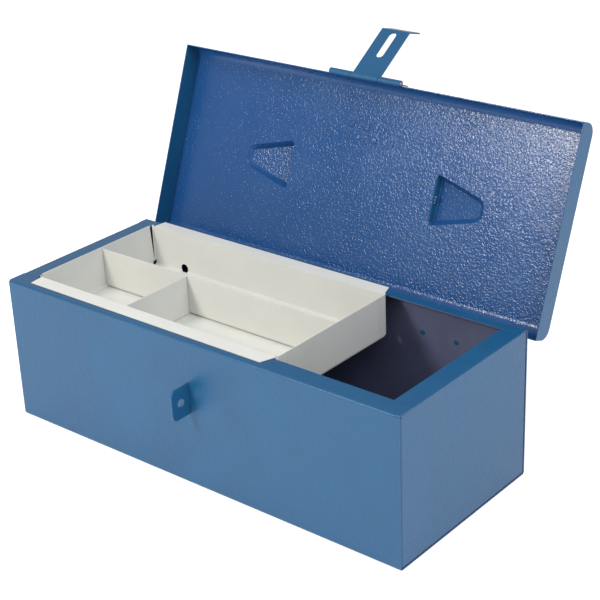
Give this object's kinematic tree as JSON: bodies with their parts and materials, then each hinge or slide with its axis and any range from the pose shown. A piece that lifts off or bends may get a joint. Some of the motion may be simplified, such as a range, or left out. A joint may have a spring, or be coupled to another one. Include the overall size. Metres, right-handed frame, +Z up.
{
  "type": "toolbox with tray",
  "caption": "Folded sheet-steel chest toolbox with a hinged cap lid, slotted hasp over a padlock staple, swinging carrying handle and a divided tray that slides on the rims.",
  "frame": {"origin": "middle of the box's underside, on the floor", "axes": "+X along the box to the right as seen from the front, +Y to the back where the hinges are, +Z up"},
  "size_m": [0.505, 0.3858, 0.3784],
  "materials": {
    "blue_enamel": "mid-blue baked enamel, semi-gloss, with a fine orange-peel",
    "cream_enamel": "pale grey-cream enamel, satin",
    "plated_steel": "zinc-plated steel wire"
  },
  "bodies": {
    "box": {"body_shell": "blue_enamel", "end_panel_left": "blue_enamel", "end_panel_right": "blue_enamel", "padlock_staple": "blue_enamel", "hinge_left_body_leaf": "blue_enamel", "hinge_right_body_leaf": "blue_enamel", "hinge_left_pin": "plated_steel", "hinge_right_pin": "plated_steel", "hinge_left_body_rivet_1": "blue_enamel", "hinge_left_body_rivet_2": "blue_enamel", "hinge_right_body_rivet_1": "blue_enamel", "hinge_right_body_rivet_2": "blue_enamel"},
    "lid": {"lid_panel": "blue_enamel", "lid_end_left": "blue_enamel", "lid_end_right": "blue_enamel", "hinge_left_lid_leaf": "blue_enamel", "hinge_right_lid_leaf": "blue_enamel", "hasp_base": "blue_enamel", "hasp_pin": "plated_steel", "hasp_rivet_left": "blue_enamel", "hasp_rivet_right": "blue_enamel", "hinge_left_lid_rivet_1": "blue_enamel", "hinge_left_lid_rivet_2": "blue_enamel", "hinge_right_lid_rivet_1": "blue_enamel", "hinge_right_lid_rivet_2": "blue_enamel"},
    "hasp": {"hasp_tongue": "blue_enamel"},
    "handle": {"carry_handle": "blue_enamel"},
    "tray": {"tray_pan": "cream_enamel", "tray_long_divider": "cream_enamel", "tray_cross_divider": "cream_enamel"}
  },
  "joints": [
    {"name": "lid_hinge", "type": "hinge", "parent": "box", "child": "lid", "pos_m": [0, 0.1085, 0.1405], "axis": [1, 0, 0], "range_deg": [0, 111]},
    {"name": "hasp_hinge", "type": "hinge", "parent": "lid", "child": "hasp", "pos_m": [0, 0.18652, 0.34181], "axis": [1, 0, 0], "range_deg": [-45, 125.5]},
    {"name": "handle_pivot", "type": "hinge", "parent": "lid", "child": "handle", "pos_m": [0, 0.17586, 0.23086], "axis": [1, 0, 0], "range_deg": [-21, 159]},
    {"name": "tray_slide", "type": "slide", "parent": "box", "child": "tray", "axis": [1, 0, 0], "range_m": [0, 0.131]}
  ]
}
